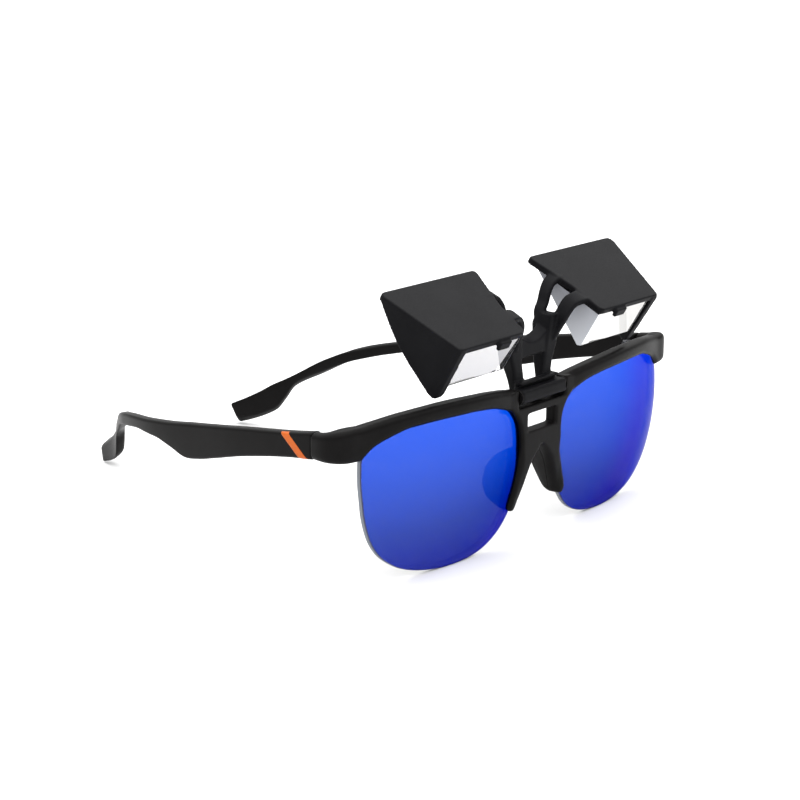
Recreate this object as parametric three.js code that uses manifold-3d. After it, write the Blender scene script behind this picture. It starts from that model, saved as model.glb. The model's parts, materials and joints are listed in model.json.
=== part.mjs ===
import * as THREE from 'three';
import { mergeVertices } from 'three/addons/utils/BufferGeometryUtils.js';
import Module from 'manifold-3d';

const wasm = await Module();
wasm.setup();

// Sizes in millimetres. The front faces -Y, the temples run back along +Y, +Z is up.
const fitGap = 0.3;            // clearance between pieces that touch
const lensRadius = 88;         // front surface of a lens, a six base curve
const lensThickness = 1.4;
const lensWidth = 57.2;
const lensHeight = 43.0;
const bridgeHalf = 7.4;        // centre line to the hidden nasal edge of a lens
const lipThickness = 0.9;      // plastic in front of the lens edge
const browBackLip = 1.7;       // plastic behind the lens edge along the brow
const rimBackLip = 1.0;        // plastic behind the lens edge at the bridge and the nasal rims
const endHalf = 71.3;          // centre line to the outer face at a temple seam
const seamY = 15.0;            // how far behind the lens bottom the temple starts
const seamGap = 0.3;
const templeReach = 122.8;     // seam to the tip, along Y
const templeThickness = 3.6;
const tipSlant = 0.3;          // lean of the cut at a temple tip
const stripeDepth = 1.5;
const stripeWidth = 2.8;
const stripeLean = 6.3;        // how far back the stripe runs from its foot to its top
const leafThickness = 0.8;
const knuckleRadius = 1.5;
const screwRadius = 0.6;
const screwHead = 0.5;         // thickness of a hinge screw's head
const hingeDrop = 0.7;         // hinge middle below the middle of the seam
const flipAxisY = -2.2;
const flipAxisZ = 40.3;
const barrelHalf = 9.25;
const barrelHeight = 4.0;
const barrelDepth = 3.8;
const windowHalf = 6.4;        // half width of the window under the barrel
const windowHeight = 5.6;
const pinRadius = 0.8;
const washerThickness = 0.5;
const washerRadius = 2.0;
const legSpread = 7.0;         // centre line to the outer face of a yoke leg at its foot
const legWidth = 2.6;
const legDepth = 2.8;
const webHeight = 4.7;         // web between the legs, at its front
const webDepth = 3.4;
const footBarHeight = 0.95;    // bar across the feet of the legs, above the barrel
const footBarGap = 0.25;
const plateThickness = 1.8;
const plateLong = 24.3;        // front edge to back edge of a housing plate
const plateTilt = 31.1;        // degrees the plate rises toward the back
const plateForward = 8.1;      // plate front edge ahead of the flip axis
const plateRise = 19.75;       // plate front edge above the flip axis
const plateInner = 12.8;       // centre line to the inner back corner of a plate
const plateInnerCut = 3.9;     // how far the inner edge runs out toward the front
const plateFrontOuter = 42.6;
const plateSplay = 6.6;        // how much wider the outer edge stands at the back
const glassLong = 20.8;        // mirrored long leg of the prism
const padThickness = 1.6;
const padDepth = 6.95;         // how far a nose pad reaches back from its rim
const tabInner = 23.0;         // centre line to the latch tab at a plate's front edge
const tabWidth = 4.8;
const tabReach = 0.8;
const tabDrop = 1.2;

const black = new THREE.MeshStandardMaterial({ color: 0x1b1b1d, roughness: 0.6, metalness: 0 });
const darkRubber = new THREE.MeshStandardMaterial({ color: 0x151516, roughness: 0.8, metalness: 0 });
const orange = new THREE.MeshStandardMaterial({ color: 0xe8731c, roughness: 0.5, metalness: 0 });
const blueMirror = new THREE.MeshStandardMaterial({ color: 0x2f55e0, roughness: 0.1, metalness: 0.6 });
const clear = new THREE.MeshStandardMaterial({ color: 0xe9edf0, roughness: 0.05, metalness: 0 });
const steel = new THREE.MeshStandardMaterial({ color: 0xa9adb2, roughness: 0.35, metalness: 1 });

// Helpers for closed meshes
function solidFrom(points, faces) {
  let volume = 0;
  for (const [a, b, c] of faces) {
    const [p, q, r] = [points[a], points[b], points[c]];
    volume += p[0] * (q[1] * r[2] - q[2] * r[1]);
    volume += p[1] * (q[2] * r[0] - q[0] * r[2]);
    volume += p[2] * (q[0] * r[1] - q[1] * r[0]);
  }
  const turned = volume < 0 ? faces.map(([a, b, c]) => [a, c, b]) : faces;
  const mesh = new wasm.Mesh({
    numProp: 3,
    vertProperties: Float32Array.from(points.flat()),
    triVerts: Uint32Array.from(turned.flat()),
  });
  return new wasm.Manifold(mesh);
}

// A body through rings of equal count, closed by a fan at both ends
function loft(rings) {
  const count = rings[0].length;
  const points = rings.flat();
  const faces = [];
  for (let i = 0; i + 1 < rings.length; i += 1) {
    for (let j = 0; j < count; j += 1) {
      const k = (j + 1) % count;
      const a = i * count + j;
      const b = i * count + k;
      faces.push([a, b, b + count], [a, b + count, a + count]);
    }
  }
  const last = (rings.length - 1) * count;
  for (let j = 1; j + 1 < count; j += 1) {
    faces.push([0, j + 1, j], [last, last + j, last + j + 1]);
  }
  return solidFrom(points, faces);
}

// A sheet inside an outline, in rings about its middle, between two surfaces
function sheet(outline, ringCount, place) {
  const count = outline.length;
  const mid = [0, 0];
  for (const p of outline) {
    mid[0] += p[0] / count;
    mid[1] += p[1] / count;
  }
  const points = [];
  for (const side of [0, 1]) {
    points.push(place(mid[0], mid[1], side));
    for (let i = 1; i <= ringCount; i += 1) {
      for (const p of outline) {
        const s = i / ringCount;
        points.push(place(mid[0] + (p[0] - mid[0]) * s, mid[1] + (p[1] - mid[1]) * s, side));
      }
    }
  }
  const half = 1 + ringCount * count;
  const faces = [];
  for (const side of [0, 1]) {
    const base = side * half;
    const add = (a, b, c) => {
      const turned = side ? [a, c, b] : [a, b, c];
      faces.push(turned.map((corner) => base + corner));
    };
    for (let j = 0; j < count; j += 1) {
      const k = (j + 1) % count;
      add(0, 1 + j, 1 + k);
      for (let i = 0; i + 1 < ringCount; i += 1) {
        const a = 1 + i * count;
        add(a + j, a + count + j, a + count + k);
        add(a + j, a + count + k, a + k);
      }
    }
  }
  const rim = 1 + (ringCount - 1) * count;
  for (let j = 0; j < count; j += 1) {
    const k = (j + 1) % count;
    faces.push([rim + j, half + rim + j, half + rim + k], [rim + j, half + rim + k, rim + k]);
  }
  return solidFrom(points, faces);
}

function boxSolid(x0, x1, y0, y1, z0, z1) {
  const ring = (z) => [[x0, y0, z], [x1, y0, z], [x1, y1, z], [x0, y1, z]];
  return loft([ring(z0), ring(z1)]);
}

function rodX(radius, x0, x1, y, z, count = 20) {
  const ring = (x) => Array.from({ length: count }, (_, i) => {
    const turn = (i / count) * Math.PI * 2;
    return [x, y + radius * Math.cos(turn), z + radius * Math.sin(turn)];
  });
  return loft([ring(x0), ring(x1)]);
}

function rodZ(radius, z0, z1, x, y, count = 20) {
  const ring = (z) => Array.from({ length: count }, (_, i) => {
    const turn = (i / count) * Math.PI * 2;
    return [x + radius * Math.cos(turn), y + radius * Math.sin(turn), z];
  });
  return loft([ring(z0), ring(z1)]);
}

// An outline in the X-Z plane pushed along Y, with its edges chamfered
function frontPlate(outline, holes, y0, y1, bevel, bend = () => 0) {
  const shape = new THREE.Shape(outline.map((p) => new THREE.Vector2(p[0], p[1])));
  for (const hole of holes) {
    shape.holes.push(new THREE.Path(hole.map((p) => new THREE.Vector2(p[0], p[1]))));
  }
  const flat = new THREE.ExtrudeGeometry(shape, {
    depth: y1 - y0 - 2 * bevel,
    bevelEnabled: bevel > 0,
    bevelThickness: bevel,
    bevelSize: bevel,
    bevelOffset: -bevel,
    bevelSegments: 2,
    curveSegments: 8,
  });
  flat.rotateX(Math.PI / 2);
  flat.translate(0, y1 - bevel, 0);
  flat.deleteAttribute('normal');
  flat.deleteAttribute('uv');
  const merged = mergeVertices(flat, 1e-4);
  const spot = merged.getAttribute('position');
  const points = Array.from({ length: spot.count }, (_, i) => {
    const [x, y, z] = [spot.getX(i), spot.getY(i), spot.getZ(i)];
    return [x, y + bend(x, z), z];
  });
  const index = Array.from(merged.index.array);
  const faces = Array.from({ length: index.length / 3 }, (_, i) => index.slice(3 * i, 3 * i + 3));
  return solidFrom(points, faces.filter((f) => new Set(f).size === 3));
}

function mirrorX(body) {
  const mesh = body.getMesh();
  const points = [];
  for (let i = 0; i < mesh.numVert; i += 1) {
    const at = i * mesh.numProp;
    points.push([-mesh.vertProperties[at], mesh.vertProperties[at + 1], mesh.vertProperties[at + 2]]);
  }
  const faces = [];
  for (let i = 0; i < mesh.numTri; i += 1) {
    faces.push(Array.from(mesh.triVerts.slice(3 * i, 3 * i + 3)));
  }
  return solidFrom(points, faces);
}

// A smooth value between knots, without overshoot
function between(knots, values, at) {
  const n = knots.length;
  const slope = [];
  for (let i = 0; i + 1 < n; i += 1) {
    slope.push((values[i + 1] - values[i]) / (knots[i + 1] - knots[i]));
  }
  const lean = [slope[0]];
  for (let i = 1; i + 1 < n; i += 1) {
    const same = slope[i - 1] * slope[i] > 0;
    lean.push(same ? (2 * slope[i - 1] * slope[i]) / (slope[i - 1] + slope[i]) : 0);
  }
  lean.push(slope[n - 2]);
  let i = 0;
  while (i < n - 2 && at > knots[i + 1]) {
    i += 1;
  }
  const h = knots[i + 1] - knots[i];
  const t = (at - knots[i]) / h;
  const t2 = t * t;
  const t3 = t2 * t;
  const low = (2 * t3 - 3 * t2 + 1) * values[i] + (t3 - 2 * t2 + t) * h * lean[i];
  return low + (3 * t2 - 2 * t3) * values[i + 1] + (t3 - t2) * h * lean[i + 1];
}

// A rectangle with round corners, as [u, z] pairs
function roundRect(u0, u1, z0, z1, radius, steps) {
  const r = Math.min(radius, (u1 - u0) * 0.48, (z1 - z0) * 0.48);
  const corners = [[u1 - r, z1 - r, 0], [u0 + r, z1 - r, 1], [u0 + r, z0 + r, 2], [u1 - r, z0 + r, 3]];
  const points = [];
  for (const [u, z, quarter] of corners) {
    for (let i = 0; i <= steps; i += 1) {
      const turn = (quarter + i / steps) * Math.PI * 0.5;
      points.push([u + r * Math.cos(turn), z + r * Math.sin(turn)]);
    }
  }
  return points;
}

// Rings across a path in plan, each facing along the path and upright unless it has a slant
function uprightRings(stations, radius, steps) {
  return stations.map((s, i) => {
    const before = stations[Math.max(0, i - 1)];
    const after = stations[Math.min(stations.length - 1, i + 1)];
    const run = [after.x - before.x, after.y - before.y];
    const length = Math.hypot(run[0], run[1]);
    const out = s.out || [run[1] / length, -run[0] / length];
    const section = roundRect(s.u0, s.u1, s.z0, s.z1, s.radius || radius, steps);
    const slant = s.slant || 0;
    return section.map(([u, z]) => {
      const ahead = (slant * (z - (s.z0 + s.z1) / 2)) / length;
      return [s.x + out[0] * u + run[0] * ahead, s.y + out[1] * u + run[1] * ahead, z];
    });
  });
}

// Lens: an outline on a sphere, left side, mirrored for the right
const wide = lensWidth / 57.2;    // tables below are in millimetres at the drawn lens size
const tall = lensHeight / 43;
const onLens = (x) => bridgeHalf + (x - 7.4) * wide;
const lensFarX = bridgeHalf + lensWidth;
const lensMidX = onLens(27.2);
const lensMidZ = 27.3 * tall;
const lensDeep = 0.0482 * lensRadius;
const sphereY = (x, z, radius) => {
  const away = (Math.abs(x) - lensMidX) ** 2 + (z - lensMidZ) ** 2;
  return lensRadius - lensDeep - Math.sqrt(Math.max(radius * radius - away, 1));
};
const lensFront = (x, z) => sphereY(x, z, lensRadius);
const lensShape = [
  [12.4, 7.4], [15, 4.7], [18.3, 2.6], [21.9, 1.2], [25.9, 0.4], [29.7, 0.1], [33.3, 0], [36.9, 0.1],
  [40.5, 0.4], [44.1, 1.0], [47.8, 1.9], [51.6, 3.3], [55.1, 5.4], [58.2, 8.0], [60.7, 11.4], [62.4, 15.2],
  [63.6, 19.4], [64.2, 23.5], [64.6, 27.8], [64.5, 32.2], [64.0, 35.0], [62.0, 37.9], [57.5, 40.4],
  [50, 42.3], [42, 43.0], [34, 42.9], [26, 42.2], [19, 40.6], [13.5, 38.0], [9.8, 34.6], [7.9, 30.5],
  [7.4, 26], [7.7, 20.5], [8.8, 15], [10.3, 10.6],
];
function lensOutline(grow, count) {
  const knots = lensShape.map(([x, z]) => new THREE.Vector3(onLens(x), z * tall, 0));
  const ring = new THREE.CatmullRomCurve3(knots, true, 'centripetal');
  const points = [];
  for (let i = 0; i < count; i += 1) {
    const p = ring.getPointAt(i / count);
    const t = ring.getTangentAt(i / count);
    points.push([p.x + t.y * grow, p.y - t.x * grow]);
  }
  return points;
}
const lensBody = sheet(lensOutline(0, 60), 4, (x, z, side) => [x, lensFront(x, z) + side * lensThickness, z]);
const lensPocket = sheet(lensOutline(fitGap, 60), 4, (x, z, side) => {
  return [x, lensFront(x, z) + (side ? lensThickness + fitGap : -fitGap), z];
});

// Heights of the temple seam, shared by the frame end and the temple
const seamTop = 40.8 * tall;
const seamLow = 34.1 * tall;

// Brow bar of one side, swept from the hinge cheek to the temple seam
const cheekX = barrelHalf + 2 * fitGap + washerThickness - 0.1;
const browTopAt = [0, 0.116, 0.27, 0.516, 0.762, 0.935, 1];
const browTop = [42.1, 43.1, 44.4, 45.1, 44.6, 43.3, 42.8];
const browLowAt = [0, 0.094, 0.185, 0.275, 0.37, 0.55, 0.735, 0.82, 0.92, 0.985, 1];
const browLow = [36.4, 38.1, 39.8, 40.6, 41.1, 41.2, 40.5, 39.4, 37.5, 35.0, 34.4];
function browStations() {
  const stations = [];
  const span = lensFarX - cheekX;
  const bandFront = lipThickness + fitGap;
  const bandBack = lensThickness + fitGap + browBackLip;
  for (let i = 0; i <= 20; i += 1) {
    const t = i / 20;
    const x = cheekX + span * t;
    const top = between(browTopAt, browTop, t) * tall;
    const low = between(browLowAt, browLow, t) * tall;
    const y = lensFront(x, (top + low) / 2);
    stations.push({ x, y, u0: -bandBack, u1: bandFront, z0: low, z1: top, radius: 1.3 });
  }
  const start = stations[20];
  const endU = templeThickness + 0.1;
  const turnX = endHalf - 0.5;
  for (let i = 1; i <= 10; i += 1) {
    const t = i / 10;
    const s = 1 - t;
    const corner = [turnX + 1.6, start.y + (seamY - start.y) * 0.04];
    const x = s * s * start.x + 2 * s * t * corner[0] + t * t * (endHalf - bandFront * s);
    const y = s * s * start.y + 2 * s * t * corner[1] + t * t * seamY;
    const u1 = bandFront * s + 4.8 * s * s * t;
    const u0 = -(bandBack * s + endU * t);
    const ease = t * t * (3 - 2 * t);
    const top = start.z1 + (seamTop - start.z1) * ease;
    const low = start.z0 + (seamLow - start.z0) * Math.min(1, ease * 2);
    const station = { x, y, u0, u1, z0: low, z1: top, radius: 1.3 };
    if (i === 10) {
      station.out = [1, 0];
    }
    stations.push(station);
  }
  return stations;
}
const browBody = loft(uprightRings(browStations(), 1.3, 3));

// Bridge: cheeks, lower bar, window, nose arch and nasal rims in one plate
const nose = bridgeHalf / 7.4;
const rimFoot = 9.3 * tall;
const archTop = 26 * tall;
const windowTop = 35.2 * tall;
const windowLow = windowTop - windowHeight;
const sweepRadius = Math.hypot(barrelHeight, barrelDepth) / 2 + fitGap;
const barTop = flipAxisZ - sweepRadius;
const cheekTop = 42.3 * tall;
const bossRise = 0.7;          // the cheek's boss stands above the brow
const noseEdge = [
  [0, 26], [1.6, 23.6], [3.2, 21.1], [4.4, 18.7], [5.5, 16.3], [6.6, 14], [7.7, 11.8], [8.7, 10], [10.2, 9.3],
];
const rimEdge = [
  [11.8, 9.5], [12.6, 10.6], [12.0, 13], [11.1, 15.4], [10.3, 18], [9.3, 22], [8.9, 25], [8.8, 28], [9.3, 32],
  [11.2, 35.6], [14, 38.2], [16, 40.4],
];
const halfBridge = [
  ...noseEdge.map(([x, z]) => [x * nose, z * tall]), ...rimEdge.map(([x, z]) => [onLens(x), z * tall]),
  [cheekX + 4, cheekTop], [cheekX + 2, cheekTop + bossRise], [cheekX, cheekTop + bossRise], [cheekX, barTop],
  [0, barTop],
];
const otherHalf = halfBridge.slice(1, -1).reverse().map(([x, z]) => [-x, z]);
const bridgeOutline = halfBridge.concat(otherHalf);
const windowRing = roundRect(-windowHalf, windowHalf, windowLow, windowTop, 1.5, 3).reverse();
const rimY = lensFront(onLens(9.3), 22 * tall);
const bridgeY0 = rimY - fitGap - lipThickness;
const bridgeY1 = rimY + lensThickness + fitGap + rimBackLip;
const rimBend = (x, z) => {
  const t = Math.min(1, Math.max(0, (34 * tall - z) / (6 * tall)));
  const away = Math.max(Math.abs(x), onLens(8.8));
  return (lensFront(away, z) - rimY) * t * t * (3 - 2 * t);
};
const bridgeBody = frontPlate(bridgeOutline, [windowRing], bridgeY0, bridgeY1, 0.5, rimBend);

// Rest ledge that the raised yoke leans on
const ledgeTop = flipAxisZ - 0.5;
const ledge = boxSolid(-cheekX - 1, cheekX + 1, flipAxisY + 1.7, flipAxisY + sweepRadius + 2.3,
  barTop - 1.5, ledgeTop);

// Temple hinge positions, shared by leaves, screw, frame end and temple
const innerFace = endHalf - templeThickness - 0.1;
const hingeX = innerFace - fitGap - knuckleRadius;
const hingeY = seamY + seamGap / 2;
const hingeMid = (seamTop + seamLow) / 2 - hingeDrop;
const hingeHalf = (seamTop - seamLow) * 0.26;
const leafHalf = hingeHalf * 0.7;
const leafLong = 6.5;
const leafPocketFrame = boxSolid(innerFace - 3, innerFace + leafThickness + fitGap, seamY - leafLong - fitGap,
  seamY + 2, hingeMid - leafHalf - fitGap, hingeMid + leafHalf + fitGap);
const leafPocketTemple = boxSolid(innerFace - 3, innerFace + leafThickness + fitGap, seamY - 2,
  seamY + seamGap + leafLong + fitGap, hingeMid - leafHalf - fitGap, hingeMid + leafHalf + fitGap);
const knuckleSweep = rodZ(knuckleRadius + fitGap * 0.5, seamLow - 5, seamTop + 5, hingeX, hingeY, 24);

const sideBrow = browBody.subtract(lensPocket).subtract(leafPocketFrame).subtract(knuckleSweep);
const pinBore = rodX(pinRadius + fitGap * 0.5, -cheekX - 2.6, cheekX + 2.6, flipAxisY, flipAxisZ);
const barrelRoom = rodX(sweepRadius, -cheekX, cheekX, flipAxisY, flipAxisZ, 32);
let frameBody = bridgeBody.add(ledge).subtract(lensPocket).subtract(mirrorX(lensPocket));
frameBody = frameBody.add(sideBrow).add(mirrorX(sideBrow)).subtract(barrelRoom).subtract(pinBore);

// Nose pads behind the nasal rims, flaring with the nose
const padFoot = rimFoot + 0.25;
const padHead = archTop + 0.35;
const padY0 = bridgeY1 + fitGap;
const padCut = 0.48;           // share of its depth that the oval has before the cut at the rim
const padOpen = 1.33;          // half turn of the oval at that cut, in radians
const padMid = (padFoot + padHead) / 2;
const padShape = [];
for (let i = 0; i <= 16; i += 1) {
  const turn = (i / 8 - 1) * padOpen;
  const back = padDepth * ((1 + padCut) * Math.cos(turn) ** 0.8 - padCut);
  padShape.push([Math.max(0, back), padMid + ((padHead - padFoot) / 2) * Math.sin(turn)]);
}
const padX = (back, z) => {
  const t = (z - padFoot) / (padHead - padFoot);
  return (10.9 - 5.8 * t) * nose + 0.18 * back;
};
const padBody = sheet(padShape, 4, (back, z, side) => {
  const x = padX(back, z) + side * padThickness;
  return [x, padY0 + rimBend(x, z) + back, z];
});

// Temple: upright sections along a plan curve that wraps in at the tip
const reach = templeReach / 122.8;
const planAt = [0, 0.04, 0.2, 0.365, 0.53, 0.69, 0.815, 0.92, 1];
const planIn = [0, 0.3, 1.9, 4.7, 8.4, 16.0, 26.9, 37.6, 43.4];
const tallAt = [0, 0.04, 0.2, 0.325, 0.415, 0.497, 0.58, 0.675, 0.757, 0.822, 0.871, 0.92, 0.962, 1];
const tallTop = [0, -1.0, -4.0, -6.6, -8.5, -10.0, -11.6, -13.4, -16.0, -20.0, -23.6, -27.6, -30.9, -35.6];
const tallLow = [0, -0.4, -4.3, -8.7, -10.7, -8.4, -7.7, -9.2, -11.7, -15.9, -20.4, -28.1, -31.2, -34.1];
function templeStations() {
  const stations = [];
  for (let i = 0; i <= 44; i += 1) {
    const t = i / 44;
    const x = endHalf - between(planAt, planIn, t) * reach;
    const y = seamY + seamGap + templeReach * t;
    const z1 = seamTop + between(tallAt, tallTop, t) * reach;
    const z0 = seamLow + between(tallAt, tallLow, t) * reach;
    const flare = Math.max(0, (t - 0.8) / 0.2) ** 2;
    const slant = tipSlant * Math.max(0, (t - 0.86) / 0.14);
    const station = { x, y, u0: -templeThickness, u1: 0.9 * flare, z0, z1, radius: 1.2, slant };
    if (i === 0) {
      station.out = [1, 0];
    }
    stations.push(station);
  }
  return stations;
}
const templeWhole = loft(uprightRings(templeStations(), 1.2, 3));
function stripeBlock(grow) {
  const low = seamLow - 3;
  const high = seamTop + 2;
  const lean = (z) => seamY + 1.8 + ((z - seamLow) / (seamTop - seamLow)) * stripeLean;
  const x0 = endHalf - stripeDepth - grow - 0.2;
  const ring = (x) => [
    [x, lean(low) - grow, low], [x, lean(low) + stripeWidth + grow, low],
    [x, lean(high) + stripeWidth + grow, high], [x, lean(high) - grow, high],
  ];
  return loft([ring(x0), ring(endHalf + 3)]);
}
const stripeBody = templeWhole.intersect(stripeBlock(0));
const templeBody = templeWhole.subtract(stripeBlock(fitGap)).subtract(leafPocketTemple)
  .subtract(knuckleSweep);

// Temple hinges: two knuckles on the frame leaf, one on the temple leaf, and a screw
const step = (hingeHalf * 2 - 2 * fitGap) / 3;
const kneeLow = [hingeMid - hingeHalf, hingeMid - hingeHalf + step];
const kneeMid = [kneeLow[1] + fitGap, kneeLow[1] + fitGap + step];
const kneeTop = [kneeMid[1] + fitGap, hingeMid + hingeHalf];
function knuckle(range, neckY0, neckY1) {
  const neck = boxSolid(hingeX + knuckleRadius * 0.55, innerFace + leafThickness, neckY0, neckY1,
    Math.max(range[0], hingeMid - leafHalf), Math.min(range[1], hingeMid + leafHalf));
  return rodZ(knuckleRadius, range[0], range[1], hingeX, hingeY).add(neck);
}
const screwHole = rodZ(screwRadius + fitGap * 0.5, seamLow - 5, seamTop + 5, hingeX, hingeY);
const framePlate = boxSolid(innerFace, innerFace + leafThickness, seamY - leafLong, seamY - 0.1,
  hingeMid - leafHalf, hingeMid + leafHalf);
const frameLeaf = framePlate.add(knuckle(kneeLow, seamY - 1.1, seamY - 0.1))
  .add(knuckle(kneeTop, seamY - 1.1, seamY - 0.1)).subtract(screwHole);
const templePlate = boxSolid(innerFace, innerFace + leafThickness, seamY + seamGap + 0.1,
  seamY + seamGap + leafLong, hingeMid - leafHalf, hingeMid + leafHalf);
const templeLeaf = templePlate.add(knuckle(kneeMid, seamY + seamGap + 0.1, seamY + seamGap + 1.1))
  .subtract(screwHole);
const screwBody = rodZ(screwRadius, kneeLow[0], kneeTop[1] + fitGap, hingeX, hingeY)
  .add(rodZ(knuckleRadius * 0.8, kneeTop[1] + fitGap, kneeTop[1] + fitGap + screwHead, hingeX, hingeY));

// Flip axle and its washers
const pinBody = rodX(pinRadius, -cheekX - 2.3, cheekX + 2.3, flipAxisY, flipAxisZ);
const washerStart = barrelHalf + fitGap - 0.05;
const washerBody = rodX(washerRadius, washerStart, washerStart + washerThickness, flipAxisY, flipAxisZ)
  .subtract(rodX(pinRadius + fitGap, 0, cheekX + 3, flipAxisY, flipAxisZ));

// Housing axes: s runs back along the plate, d runs down square to it
const tilt = (plateTilt * Math.PI) / 180;
const along = [Math.cos(tilt), Math.sin(tilt)];
const down = [Math.sin(tilt), -Math.cos(tilt)];
const plateY = flipAxisY - plateForward;
const plateZ = flipAxisZ + plateRise;
const onPlate = (x, s, d) => [x, plateY + along[0] * s + down[0] * d, plateZ + along[1] * s + down[1] * d];
const sideX = (s, d) => plateFrontOuter + (plateSplay * s) / plateLong - 0.06 * d;

// A closed outline with its corners cut round
function softCorners(corners, radii, steps) {
  const points = [];
  corners.forEach((p, i) => {
    const a = corners[(i + corners.length - 1) % corners.length];
    const b = corners[(i + 1) % corners.length];
    const toA = [a[0] - p[0], a[1] - p[1]];
    const toB = [b[0] - p[0], b[1] - p[1]];
    const lengthA = Math.hypot(toA[0], toA[1]);
    const lengthB = Math.hypot(toB[0], toB[1]);
    const r = Math.min(radii[i], lengthA * 0.45, lengthB * 0.45);
    const from = [p[0] + (toA[0] / lengthA) * r, p[1] + (toA[1] / lengthA) * r];
    const to = [p[0] + (toB[0] / lengthB) * r, p[1] + (toB[1] / lengthB) * r];
    for (let k = 0; k <= steps; k += 1) {
      const t = k / steps;
      const w = [(1 - t) ** 2, 2 * t * (1 - t), t * t];
      points.push([w[0] * from[0] + w[1] * p[0] + w[2] * to[0], w[0] * from[1] + w[1] * p[1] + w[2] * to[1]]);
    }
  });
  return points;
}
const plateBend = plateLong * 0.41;
const plateFrontInner = plateInner + plateInnerCut + 0.5;
const plateCorners = [
  [plateInner, plateLong], [plateInner + plateInnerCut, plateBend], [plateFrontInner, 0],
  [sideX(0, 0), 0], [sideX(plateLong, 0), plateLong],
];
const plateOutline = softCorners(plateCorners, [1.6, 2.5, 1.4, 1.2, 1.6], 3);
const plateBody = sheet(plateOutline, 1, (x, s, side) => onPlate(x, s, side * plateThickness));
const longer = plateLong / 24.3;
const sideCorners = [[0, 0], [0.1, 16.9], [2.6, 16.6], [14.6, 9.4], [24.4, 0.2]]
  .map(([a, b]) => [a * longer, b * longer]);
const sideOutline = softCorners(sideCorners, [1.2, 1.4, 1.2, 5, 1.5], 3);
const sideBody = sheet(sideOutline, 1, (a, d, side) => onPlate(sideX(a, d) - side * plateThickness, a, d));
const tabBody = loft([-tabReach, 0.3].map((s) => [
  onPlate(tabInner, s, 0.6), onPlate(tabInner + tabWidth, s, 0.6),
  onPlate(tabInner + tabWidth, s, plateThickness + tabDrop), onPlate(tabInner, s, plateThickness + tabDrop),
]));

// Strap: a flat bar along a curve, its width turning from one direction to another
const strapSteps = 14;
const strapThickness = plateThickness - 0.1;
function strap(path, broadFrom, broadTo, widths) {
  const curve = new THREE.CatmullRomCurve3(path.map((p) => new THREE.Vector3(...p)), false, 'centripetal');
  const rings = [];
  for (let i = 0; i <= strapSteps; i += 1) {
    const t = i / strapSteps;
    const spot = curve.getPointAt(t);
    const run = curve.getTangentAt(t);
    const broad = new THREE.Vector3(...broadFrom).lerp(new THREE.Vector3(...broadTo), t);
    broad.addScaledVector(run, -broad.dot(run)).normalize();
    const thin = run.clone().cross(broad);
    const half = (widths[0] + (widths[1] - widths[0]) * t) / 2;
    const section = roundRect(-half, half, -strapThickness / 2, strapThickness / 2, 0.5, 1);
    rings.push(section.map(([u, v]) => {
      const q = spot.clone().addScaledVector(broad, u).addScaledVector(thin, v);
      return [q.x, q.y, q.z];
    }));
  }
  return loft(rings);
}

// Legs of the yoke: sections that widen and deepen as they rise from the barrel
const yokeFront = flipAxisY + barrelDepth / 2 - 0.1;
const legRise = [0.2, 3.2, 6.2, 8.2, 13.2, 16.4, 19.2];
const legOuter = [-0.1, 0, 0.3, 1.2, 2.7, 2.8, 2.2].map((more) => legSpread + more);
const legInner = [0.1, 0, -0.3, 0.3, 1.1, 0.8, -0.3].map((more, i) => legOuter[i] - legWidth - more);
const legFront = [0, 0, -0.1, -0.1, -0.5, -1.0, -1.2].map((more) => yokeFront + more);
const legBack = [-0.55, 0, 1.05, 1.5, 2.7, 3.6, 2.2].map((more, i) => legFront[i] + legDepth + more);
const legBody = loft(legRise.map((rise, i) => {
  const section = roundRect(legInner[i], legOuter[i], legFront[i], legBack[i], 0.7, 2);
  return section.map(([x, y]) => [x, y, flipAxisZ + rise]);
}));

// Front and rear straps from a leg's top to the inner edge of a plate
const innerEdge = [plateFrontInner, plateInner + plateInnerCut, plateInner];
const edgeX = (s) => between([0, plateBend, plateLong], innerEdge, s);
const halfDown = plateThickness / 2;
const rearS = plateLong * 0.67;
const frontS = plateLong * 0.3;
const forkZ = flipAxisZ + 15.2;
const legTopX = (legInner[5] + legOuter[5]) / 2;
const rearSpot = onPlate(edgeX(rearS), rearS, halfDown);
const frontSpot = onPlate(edgeX(frontS), frontS, halfDown);
const stepsFrom = (spot, steps) => steps.map(([x, y, z]) => [spot[0] + x, spot[1] + y, spot[2] + z]);
const plateWay = [0, along[0], along[1]];
const rearStrap = strap([
  onPlate(rearSpot[0] + 3, rearS, halfDown), rearSpot,
  ...stepsFrom(rearSpot, [[-3.2, -0.2, -1.1], [-5.2, -0.4, -3.4], [-6.2, -0.5, -5.7]]),
  ...stepsFrom([legTopX, rearSpot[1], forkZ], [[-0.8, -0.7, 3.5], [-0.5, -1.2, 0]]),
], plateWay, [0, 1, 0], [3.5, 2.9]);
const frontStrap = strap([
  onPlate(frontSpot[0] + 3, frontS, halfDown), onPlate(frontSpot[0] - 1.3, frontS, halfDown),
  ...stepsFrom(frontSpot, [[-4.4, 0.2, -0.5], [-6.2, 0.7, -2.1]]),
  ...stepsFrom([legTopX, frontSpot[1], forkZ], [[1.5, 1.5, 3.2], [0.9, 2.7, 0.7], [0.2, 4.2, -2.5]]),
], plateWay, [0, 0.95, 0.3], [4.5, 3.5]);

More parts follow.
